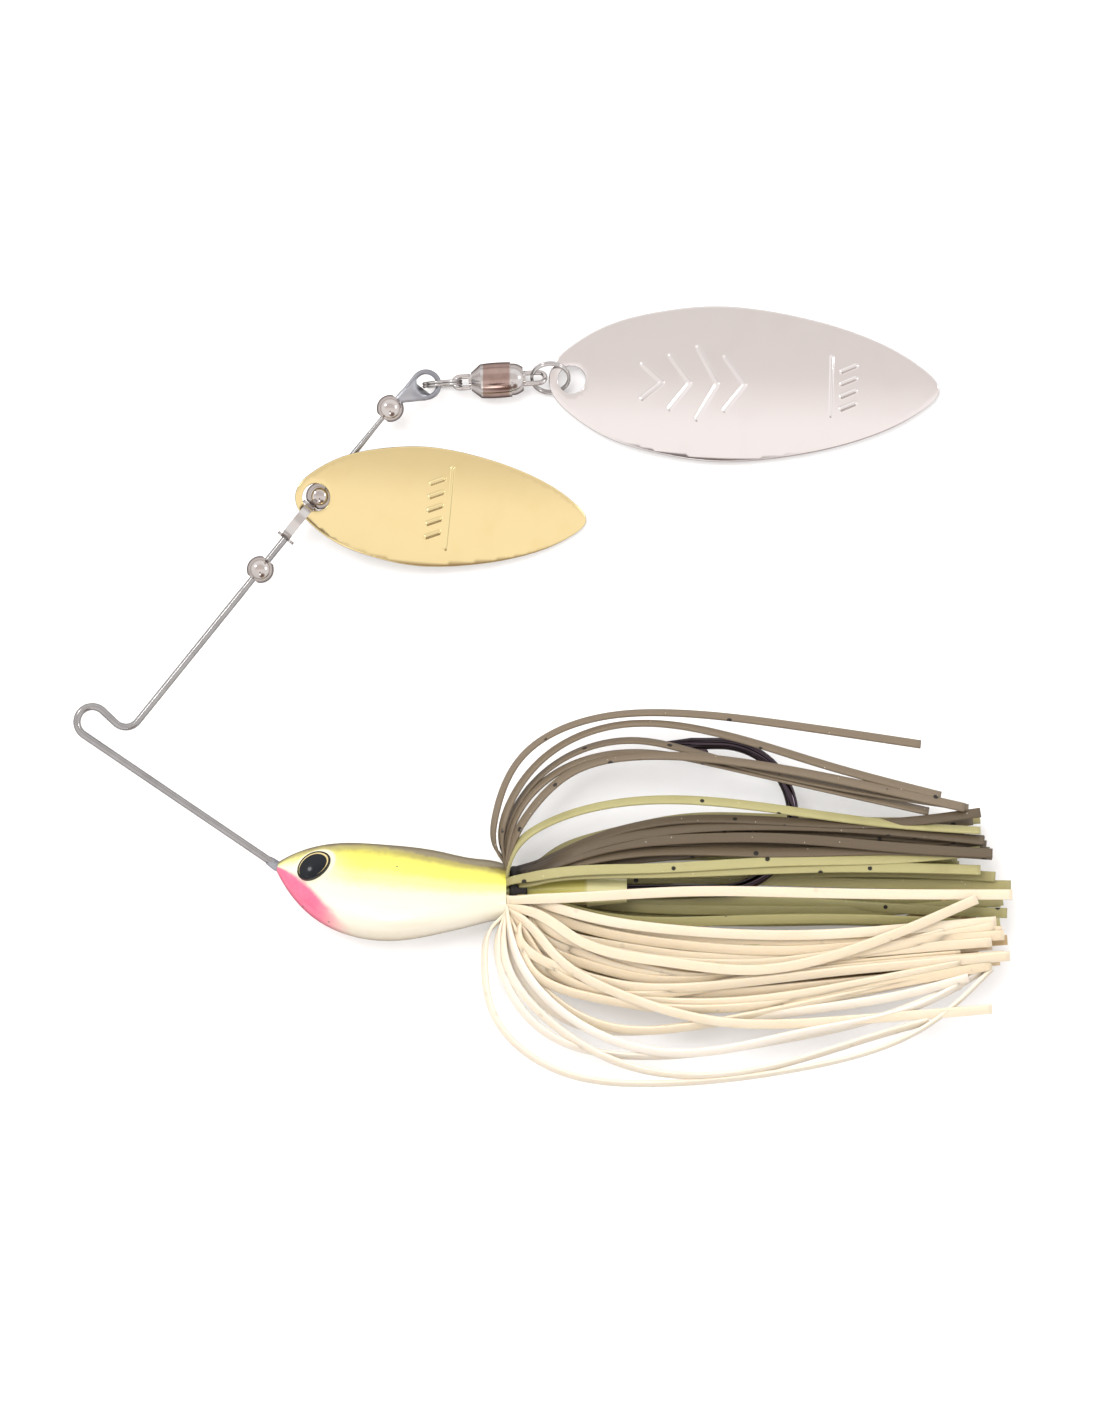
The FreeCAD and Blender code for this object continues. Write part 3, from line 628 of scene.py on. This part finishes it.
def fish_eye(name, node, side):
    """Domed oval eye: a dark pupil set low in a pale crescent, inside a raised black rim."""
    sides = 72
    matrix = eye_frame(node, side)
    angles = np.linspace(0, 2 * pi, sides, endpoint=False)
    oval = np.stack([eye_long * np.cos(angles), eye_short * np.sin(angles)], axis=1)
    pupil = oval * pupil_size + np.array([pupil_shift[0], pupil_shift[1] * side])
    rings = [pupil * share for share in PUPIL_RINGS] + [oval * bed_size]
    heights = [0.0] * len(rings)
    crescent = len(PUPIL_RINGS) * sides
    for share, lift in RIM_STATIONS:
        rings.append(oval * share)
        heights.append(lift)
    verts = [(0.0, 0.0, eye_stand)]
    for ring, lift in zip(rings, heights):
        for x, y in ring:
            verts.append((x, y, sqrt(eye_dome ** 2 - x * x - y * y) - eye_dome + eye_stand + lift))
    faces = [(0, 1 + k, 1 + (k + 1) % sides) for k in range(sides)]
    for i in range(len(rings) - 1):
        faces += [f[::-1] for f in loops_between(1 + i * sides, 1 + (i + 1) * sides, sides)]
    turned = [matrix @ Vector(v) for v in verts]
    piece = new_piece(name, turned, faces, "eye_resin", "lure")
    piece.data.materials.append(CRESCENT)
    for face in piece.data.polygons[crescent:crescent + sides]:
        face.material_index = 1
    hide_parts(node)


fish_eye("eye_upper", "eye_left", 1)
fish_eye("eye_under", "eye_right", -1)


# Solder and lead on the wire ---------------------------------------------------------------
lower_arm_heading = 145.85      # direction in which the wire leaves the nose
upper_arm_heading = 51.1        # direction in which the wire reaches its loop
nose_entry = (-0.25, 3.25)      # from the tip of the head and from its hook axis
loop_inside = 1.28              # the web ends on this circle in the loop
tail_room = 0.6                 # the web keeps this far back where the split ring hangs
web_corner = 0.8                # under 1, the web's section is fuller than an ellipse
web_rough = 0.02
sleeve_rough = 0.05
sleeve_rag = 0.3                # waves of the skin's edge
sleeve_smooth = 0.3             # up to here the skin is even
sleeve_swell = 0.15             # how much wider it is where it reaches further

# Sections of the web: place along the arm and across it from the loop's centre, half width and half
# thickness.  The last one follows the circle in the loop.
WEB_STATIONS = [(-4.15, 1.58, 0.42, 0.30), (-4.0, 1.52, 0.50, 0.38), (-3.6, 1.40, 0.64, 0.44),
                (-3.0, 1.14, 0.88, 0.46), (-2.5, 0.86, 1.12, 0.45), (-2.0, 0.55, 1.38, 0.42),
                (-1.6, 0.33, 1.58, 0.38), (0.0, 0.30, 1.62, 0.33)]

# The skin at the nose: place along the wire from its entry, and radius.
SLEEVE_STATIONS = [(-0.9, 0.50), (-0.4, 0.66), (0.0, 0.64), (0.35, 0.58), (0.6, 0.53), (0.75, 0.485)]


def solder_web():
    """Tin that fills the throat of the loop, between the arm and the returning tail."""
    sides = 28
    heading = radians(upper_arm_heading)
    along = np.array([cos(heading), sin(heading), 0])
    left = np.array([-along[1], along[0], 0])
    verts = []
    for reach, offset, half, thick in WEB_STATIONS:
        for k in range(sides):
            angle = 2 * pi * k / sides
            side = abs(cos(angle)) ** web_corner * (1 if cos(angle) > 0 else -1)
            rise = abs(sin(angle)) ** web_corner * (1 if sin(angle) > 0 else -1)
            t = offset + half * side + random.uniform(-web_rough, web_rough)
            if reach == 0:
                held_back = tail_room if t < 0 else 0
                place = -sqrt(max(loop_inside ** 2 - t * t, held_back ** 2))
            else:
                place = reach
            lift = np.array([0, 0, thick * rise])
            verts.append(np.array(LOOP_CENTRE) + along * place + left * t + lift)
    faces = tube_faces(len(WEB_STATIONS), sides)
    piece = new_piece("solder_web", verts, faces, "tin_solder", "lure")
    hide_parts("eye_solder")


solder_web()


def nose_sleeve():
    """Ragged skin of lead and paint that creeps up the wire where it leaves the casting."""
    sides = 18
    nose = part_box("head")[0].x / MM
    place = np.array([nose + nose_entry[0], COLLAR.y + nose_entry[1], COLLAR.z])
    along = np.array([cos(radians(lower_arm_heading)), sin(radians(lower_arm_heading)), 0])
    across = np.array([-along[1], along[0], 0])
    verts = []
    for reach, radius in SLEEVE_STATIONS:
        for k in range(sides):
            angle = 2 * pi * k / sides
            ragged = random.uniform(-sleeve_rough, sleeve_rough)
            if reach > sleeve_smooth:
                ragged += sleeve_rag * sin(2 * angle + 0.7)
            spoke = across * cos(angle) + np.array([0, 0, 1]) * sin(angle)
            verts.append(place + along * (reach + ragged) + spoke * (radius + ragged * sleeve_swell))
    faces = tube_faces(len(SLEEVE_STATIONS), sides)
    new_piece("nose_sleeve", verts, faces, "tin_solder", "lure")


nose_sleeve()


# Skirt -------------------------------------------------------------------------------------
strand_width = 1.3
strand_thick = 0.40
strand_step = 0.7               # distance between the rings of a strand's mesh
strand_corner = 0.13            # rounding of a strand's section
settle_length = 9.0             # a strand has turned to its own lean this far from the collar
pinch_length = 5.0              # it has its full width this far from the collar
pinched = 0.72                  # part of its width at the collar
# painted shade at the roots: over this length a strand goes from its darker root tone to its own
painted_root_shade_length = 8.0         # it has its own tone this far from the collar
painted_root_shade_ease = 0.6           # under 1, most of that change is near the collar
tip_ease = 1.5                  # over 1, a strand keeps its level and comes to its tip's height late
wander_waves = (1.0, 2.2)       # a strand's lean wanders in this many half waves
wander_angle = 8
wander_start = 6                # latest place in a wave at which it starts
wander_offset = 6
front_root = (-1.38, 2.45)      # gap between head and collar: from the collar's middle, and radius
front_exit = (-0.05, 0.9)       # from a strand's root to its next place: along, and outward
rear_root = (-0.1, 2.9)         # under the collar's skin, where the other strands leave
rear_exit = (1.3, 0.35)
even_places = 7


def strand_section(width, thick):
    """Rounded rectangle, as points across and through the strand."""
    w = width / 2 - strand_corner
    h = thick / 2 - strand_corner
    corners = [(w, h, 0), (-w, h, 90), (-w, -h, 180), (w, -h, 270)]
    points = []
    for x, y, start in corners:
        for turn in (0, 45, 90):
            angle = radians(start + turn)
            points.append((x + strand_corner * cos(angle), y + strand_corner * sin(angle)))
    return np.array(points)


def strand(route, exit_angle, level, tip_level, lean, rear=False):
    """One strand: out of the collar at exit_angle, then over (x, y) places measured from the collar."""
    side, rise = cos(radians(exit_angle)), sin(radians(exit_angle))
    x, radius = rear_root if rear else front_root
    away, wider = rear_exit if rear else front_exit
    next_radius = radius + wider
    start = [(x, radius * side, radius * rise), (x + away, next_radius * side, next_radius * rise)]
    count = len(route)
    heights = [level + (tip_level - level) * (i / (count - 1)) ** tip_ease for i in range(count)]
    heights[0] = (heights[0] + start[1][2]) / 2
    places = start + [(x, y, h) for (x, y), h in zip(route, heights)]
    length = sum(np.linalg.norm(np.subtract(a, b)) for a, b in zip(places, places[1:]))
    path = smooth_path(places, int(length / strand_step))
    along = unit(np.gradient(path, axis=0))
    far = np.concatenate([[0], np.cumsum(np.linalg.norm(np.diff(path, axis=0), axis=1))])
    waves = random.uniform(*wander_waves)
    phase = random.uniform(0, wander_start)
    offset = random.uniform(-wander_offset, wander_offset)
    wander = offset + wander_angle * np.sin(far / length * pi * waves + phase)
    tilt = np.radians(lean + wander)[:, None]
    outward = unit(np.stack([-along[:, 1], along[:, 0], 0 * far], axis=1))
    if route[len(route) // 2][1] < 0:
        outward = -outward
    leaning = np.cross(outward * np.sin(tilt) + np.array([0, 0, 1]) * np.cos(tilt), along)
    pressed = np.array([0, -rise, side])
    if leaning[len(path) // 3] @ pressed < 0:
        pressed = -pressed
    settled = np.clip(far / settle_length, 0, 1)[:, None]
    settled = settled * settled * (3 - 2 * settled)
    across = pressed * (1 - settled) + leaning * settled
    across = unit(across - along * (across * along).sum(1, keepdims=True))
    normal = np.cross(along, across)
    section = strand_section(strand_width, strand_thick)
    pinch = pinched + (1 - pinched) * np.clip(far / pinch_length, 0, 1)
    rings = (path[:, None, :] + across[:, None, :] * section[None, :, 0, None] * pinch[:, None, None]
             + normal[:, None, :] * section[None, :, 1, None])
    return rings.reshape(-1, 3), len(path), len(section)


def middle_height(row):
    """How far a strand's middle place is to the side of the collar."""
    route = row[0]
    return route[len(route) // 2][1]


def even_route(route):
    """The same route over some evenly spaced places."""
    places = np.array(route)
    far = np.concatenate([[0], np.cumsum(np.linalg.norm(np.diff(places, axis=0), axis=1))])
    even = np.linspace(0, far[-1], even_places)
    return np.stack([np.interp(even, far, places[:, k]) for k in (0, 1)], axis=1)


def filling(rows, count, low, high, exits):
    """More strands, each on a route between two of these, at heights from low to high."""
    made = []
    order = sorted(rows, key=middle_height)
    for i in range(count):
        place = (i + random.uniform(0.2, 0.8)) / count * (len(order) - 1)
        first = order[int(place)]
        second = order[int(place) + 1]
        share = place - int(place)
        route = even_route(first[0]) * (1 - share) + even_route(second[0]) * share
        route[:, 0] *= random.uniform(0.93, 1.02)
        route[:, 1] += random.uniform(-0.5, 0.5)
        lean = first[4] * (1 - share) + second[4] * share
        level, tip = random.uniform(low, high), random.uniform(low, high)
        start = exits[0] + (exits[1] - exits[0]) * place / (len(order) - 1)
        made.append(([tuple(q) for q in route], start, level, tip, lean, True))
    return made


def strand_group(name, slot, rows, tone_range, painted_root_shade, replaced):
    """Strands of one colour as a single piece; each has its own tone, and at its root a darker one,
    painted shade where the strands crowd the collar.
    """
    verts, faces, tones = [], [], []
    for row in rows:
        points, rings, sides = strand(*row)
        own = np.clip(np.arange(rings) * strand_step / painted_root_shade_length, 0, 1) ** painted_root_shade_ease
        # near the collar the tone is painted shade
        tone = random.uniform(*tone_range) * own + (1 - own) * painted_root_shade
        faces += tube_faces(rings, sides, start=len(verts))
        verts += list(points + np.array(COLLAR))
        tones += list(np.repeat(tone, sides))
    piece = new_piece(name, verts, faces, slot, "lure")
    layer = piece.data.attributes.new("strand_tone", "FLOAT", "POINT")
    layer.data.foreach_set("value", np.array(tones, np.float32))
    if replaced:
        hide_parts(*replaced)


# Routes of the strands, in millimetres from the middle of the collar: the places that each one
# passes over, the angle at which it leaves the collar, its height, the height of its tip, its lean.
BROWN = [
    ([(-2.7, 5.0), (-2.9, 9.5), (0.5, 17), (8.5, 21.5), (19, 22.5), (34, 21), (51, 18.5)],
     28, 2.6, 2.2, 52),
    ([(-2.1, 5.5), (-1.3, 10.5), (4.1, 17.5), (13, 21), (22.5, 20.5), (38.5, 16), (53.5, 12)],
     33, 3.4, 3.0, 54),
    ([(-1.8, 5.0), (-0.8, 9.7), (5.4, 16.5), (14.5, 19), (24, 17), (38.5, 13.5), (57, 10.5)],
     38, 2.3, 2.9, 56),
    ([(-1.2, 6.8), (1.0, 11.5), (5.9, 15.5), (14.5, 17.5), (25, 16), (38.5, 13), (52, 10)],
     44, 3.0, 2.2, 50),
    ([(-0.9, 5.5), (1.4, 9.9), (6.8, 15), (15, 17), (26, 16.5), (43, 13.5), (56.5, 10.5)],
     50, 4.2, 3.6, 44),
]
DARK = [
    ([(3.5, 3.9), (8.5, 6.1), (19, 8.8), (34, 8.7), (47.5, 8.6), (58.5, 9.9)], 14, 3.4, 3.4, 40, True),
    ([(3.4, 3.7), (7.2, 5.5), (19, 8.6), (30.5, 8.8), (45, 7.5), (59, 6.4)], 24, 2.6, 2.2, 35, True),
    ([(3.4, 3.3), (6.5, 4.6), (18.5, 7.5), (34, 8.2), (47.5, 7.5), (59, 6.3)], 34, 4.0, 3.0, 30, True),
    ([(3.4, 2.9), (8.5, 4.7), (20.5, 6.5), (34, 6.6), (47.5, 5.5), (60, 4.7)], 46, 4.5, 3.4, 25, True),
    ([(3.4, 2.4), (6.5, 3.3), (16, 4.9), (31.5, 4.8), (47.5, 5.1), (60, 4.5)], 56, 4.0, 2.6, 20, True),
    ([(3.4, 2.8), (7.2, 4.5), (16, 6.1), (31.5, 5.5), (47.5, 4.8), (58.5, 5.0)], 40, 3.2, 2.0, 30, True),
    ([(3.4, 2.2), (7.2, 3.1), (18, 4.3), (33, 5.8), (46, 6.4), (56.5, 7.4)], 62, 2.3, 1.6, 20, True),
]
OLIVE = [
    ([(-0.6, 5.0), (2.8, 8.1), (9.4, 10.5), (18, 11.5), (31.5, 10.5), (47.5, 8.4), (58.5, 7.6)],
     56, 4.6, 3.2, 45),
    ([(0.8, 1.6), (5.0, 2.3), (16, 2.8), (34, 3.7), (47.5, 4.0), (58.5, 5.0)], 72, 4.6, 2.4, 15),
    ([(3.0, 1.4), (7.0, 2.0), (16, 2.2), (38.5, 2.9), (58.5, 2.6)], 74, 3.9, 3.0, 10, True),
    ([(3.0, 0.6), (8.5, 1.0), (20.5, 1.4), (38.5, 1.0), (62.5, 0.6)], -82, -2.8, 0.8, 8, True),
    ([(3.0, 0.9), (7.2, 1.8), (25, 2.0), (43, 2.3), (60.5, 1.7)], -78, -2.6, 1.2, 8, True),
    ([(3.0, -0.5), (13, -1.7), (29.5, -1.4), (47.5, -2.3), (62, -2.9)], -95, -2.7, 1.0, 8, True),
    ([(3.0, -0.8), (14, -2.2), (29.5, -2.6), (47.5, -2.5), (61.5, -1.3)], -100, -2.6, 0.6, 8, True),
    ([(3.2, -3.4), (7.2, -6.1), (15, -7.7), (27.5, -7.5), (43, -6.1), (61, -4.1)],
     124, 2.2, 2.8, 10, True),
    ([(3.0, -1.4), (11, -3.4), (24, -3.9), (40, -3.6), (59.5, -4.4)], 108, 2.0, 1.6, 12, True),
]
CREAM = [
    ([(0.8, -1.1), (7.2, -0.8), (20.5, -0.1), (38.5, -0.3), (62.5, -0.5)], 108, 5.2, 3.6, 5),
    ([(0.7, -2.4), (7.2, -6.0), (19, -9.0), (29.5, -10), (42, -7.5), (58, -1.0)], 122, 5.0, 4.4, 15),
    ([(3.0, -1.6), (8.5, -3.2), (20.5, -5.0), (36, -5.6), (49.5, -4.8), (60.5, -3.9)],
     110, 4.2, 3.0, 12, True),
    ([(0.2, -3.4), (4.5, -8.0), (14, -13.5), (25, -16.5), (40.5, -16.5), (60, -15)],
     128, 4.5, 2.6, 30),
    ([(-0.2, -4.0), (2.8, -8.6), (11.5, -13), (25, -12), (43, -9.7), (61.5, -8.2)],
     133, 3.4, 3.2, 30),
    ([(3.0, -4.2), (7.2, -7.5), (19, -11), (31.5, -11), (45, -9.7), (57.5, -8.6)],
     134, 3.0, 2.0, 20, True),
    ([(2.6, -4.8), (6.0, -9.3), (13.5, -12.5), (25, -13), (43, -11.5), (60, -9.7)],
     144, 2.4, 2.6, 30, True),
    ([(-0.5, -5.0), (1.4, -9.7), (9.4, -13.5), (23, -15), (38.5, -13.5), (58.5, -9.9)],
     138, 3.9, 2.2, 35),
    ([(-0.8, -5.2), (1.9, -11), (10.5, -17), (23, -17), (40.5, -13.5), (58, -10)],
     141, 2.7, 2.9, 45),
    ([(2.6, -3.6), (6.2, -6.9), (15, -9.6), (29, -9.4), (44, -8.3), (60, -6.9)],
     128, 2.5, 2.4, 15, True),
    ([(2.4, -5.2), (5.4, -10.5), (14.5, -14.5), (28, -14.5), (43, -12.5), (59, -9.0)],
     150, 1.8, 1.7, 25, True),
    ([(2.8, -2.4), (8.0, -4.6), (20, -6.8), (35, -7.6), (48, -6.6), (61.5, -5.6)],
     118, 2.9, 3.4, 10, True),
]
OUTER = [
    ([(-3.4, -4.8), (-4.3, -8.3), (-3.0, -16), (5.4, -23), (16, -24.5), (36, -22.5), (52, -17),
      (60, -9.9)], 142, 1.6, 2.6, 60),
    ([(-2.4, -5.0), (-2.5, -8.3), (2.8, -17.5), (15, -21), (30.5, -19.5), (47.5, -15.5), (56, -12)],
     138, 2.4, 2.2, 50),
    ([(-1.9, -5.2), (-1.7, -8.6), (4.5, -17), (15, -22.5), (28.5, -23), (45, -18.5), (52, -16.5)],
     134, 3.2, 2.4, 48),
    ([(-1.6, -5.0), (-0.6, -9.0), (5.4, -16), (19, -17.5), (34, -15.5), (49.5, -13), (57, -11)],
     130, 1.9, 3.2, 42),
    ([(-1.1, -5.2), (0.5, -9.6), (7.2, -16.5), (19, -20.5), (36, -18), (52, -14), (59, -10)],
     126, 3.8, 2.4, 42),
]

inner_cream = sorted(CREAM[1:], key=middle_height)[2:]

strand_group("strands_brown", "silicone_brown", BROWN, (0.1, 0.6), 1.1, ["skirt_brown"])
strand_group("strands_dark", "silicone_dark", DARK + filling(DARK, 5, 1.4, 2.6, (64, 16)),
             (0.2, 0.7), 2.0, ["skirt_dark"])
strand_group("strands_olive", "silicone_olive", OLIVE, (0.0, 0.5), 0.8, ["skirt_olive"])
strand_group("strands_olive_under", "silicone_olive",
             filling(DARK + OLIVE[1:], 10, -3.4, -1.6, (-150, -20)), (0.1, 0.6), 1.5, ["skirt_underside"])
strand_group("strands_cream", "silicone_cream", CREAM + filling(inner_cream, 8, 2.4, 3.8, (150, 115)),
             (0.0, 0.4), 0.3, ["skirt_cream"])
# the strands under the others get a darker tan tone: painted shade between the strands
strand_group("strands_cream_under", "silicone_cream",
             filling(inner_cream, 26, -3.6, 1.4, (-170, -110)), (0.5, 1.1), 1.4, [])
# the outer strands get a tone below 0: painted light coming through the thin strands
strand_group("strands_cream_outer", "silicone_cream", OUTER, (-0.6, -0.2), 0.1, ["skirt_cream_outer"])


# Stage -------------------------------------------------------------------------------------
def floor():
    """White paper that glows a little, so that it stays white beside the lure's shadow."""
    material, tree, shader, where = new_material("backdrop_paper", roughness=0.9, specular_ior_level=0.1)
    grain = noise(tree, where, 400.0, 3.0)
    paper = mix(tree, grain, srgb("fdfdfd"), srgb("fafafa"))
    feed(tree, shader, base_color=paper, emission_color=paper)
    shader.inputs["Emission Strength"].default_value = 0.3
    bpy.ops.mesh.primitive_plane_add(size=6)
    plane = bpy.context.object
    plane.name = "backdrop"
    plane.location.z = -0.0002
    plane.data.materials.append(material)
    plane.visible_glossy = False


def area_light(name, place, aim, size, power):
    """Square lamp at a place, turned to an aim, that metals don't mirror."""
    lamp = bpy.data.lights.new(name, "AREA")
    lamp.shape = "SQUARE"
    lamp.size = size
    lamp.energy = power
    holder = bpy.data.objects.new(name, lamp)
    bpy.context.scene.collection.objects.link(holder)
    holder.location = place
    holder.rotation_euler = (Vector(aim) - Vector(place)).to_track_quat("-Z", "Y").to_euler()
    holder.visible_glossy = False


def towards(tree, where, direction, inner, outer):
    """1 within an angle inner of a direction, 0 beyond an angle outer, in degrees."""
    aim = Vector(direction).normalized()
    near = put(tree, "ShaderNodeVectorMath", {0: where, 1: aim}, operation="DOT_PRODUCT").outputs["Value"]
    return fade(tree, near, cos(radians(outer)), cos(radians(inner)))


def studio():
    """Light tent: greyer overhead on the blades' side, with a brown gap, a dark lens and three lamps."""
    world = bpy.data.worlds.new("studio")
    bpy.context.scene.world = world
    world.use_nodes = True
    tree = world.node_tree
    where = put(tree, "ShaderNodeTexCoord").outputs["Generated"]
    x, y, z = put(tree, "ShaderNodeSeparateXYZ", {0: where}).outputs
    tent = ramp(tree, math(tree, "MULTIPLY_ADD", y, 0.5, 0.5), [
        (0.0, (1.0, 0.97, 0.95)), (0.44, (0.98, 0.93, 0.92)), (0.54, (0.76, 0.71, 0.69)),
        (1.0, (0.70, 0.66, 0.64))], "LINEAR")
    tent = mix(tree, fade(tree, z, 0.62, 0.84), (0.97, 0.96, 0.96, 1), tent)
    sky = math(tree, "MULTIPLY_ADD", z, 0.5, 0.5)
    height = ramp(tree, sky, [
        (0.0, (0.10, 0.08, 0.08)), (0.12, (0.22, 0.19, 0.18)), (0.22, (0.62, 0.59, 0.58)),
        (0.40, (0.86, 0.84, 0.83)), (0.51, (0.52, 0.48, 0.47)), (0.56, (0.84, 0.82, 0.81)),
        (0.64, (1, 1, 1))], "LINEAR")
    colour = mix(tree, 1.0, tent, height, "MULTIPLY")
    gap = towards(tree, where, (0.25, -0.80, 0.52), inner=10, outer=27)
    colour = mix(tree, gap, colour, (0.24, 0.165, 0.135, 1))
    lens = towards(tree, where, (0, -0.46, 0.89), inner=4, outer=7)
    colour = mix(tree, lens, colour, (0.10, 0.07, 0.06, 1))
    lamps = (((-0.60, 0.45, 0.66), 8.0), ((0.78, 0.20, 0.60), 8.0), ((0, -0.73, 0.68), 2.5))
    for direction, strength in lamps:
        spot = towards(tree, where, direction, inner=4, outer=7)
        lamp = math(tree, "MULTIPLY", spot, strength)
        glow = put(tree, "ShaderNodeCombineColor", {0: lamp, 1: lamp, 2: lamp}).outputs[0]
        colour = mix(tree, 1.0, colour, glow, "ADD")
    tree.links.new(colour, tree.nodes["Background"].inputs[0])
    tree.nodes["Background"].inputs[1].default_value = light_level
    area_light("key", (-0.25, 0.35, 0.9), aim=(0, 0, 0), size=0.5, power=7.0)


def camera():
    """Straight above the lure, a metre away."""
    eye = bpy.data.cameras.new("camera")
    eye.lens = 199.3
    eye.sensor_width = 36
    eye.clip_start = 0.01
    holder = bpy.data.objects.new("camera", eye)
    bpy.context.scene.collection.objects.link(holder)
    holder.location = (0.001004, -0.002056, 1.004)
    bpy.context.scene.camera = holder


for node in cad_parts:
    dress(node)
floor()
studio()
camera()
bpy.context.scene.view_settings.view_transform = "Standard"
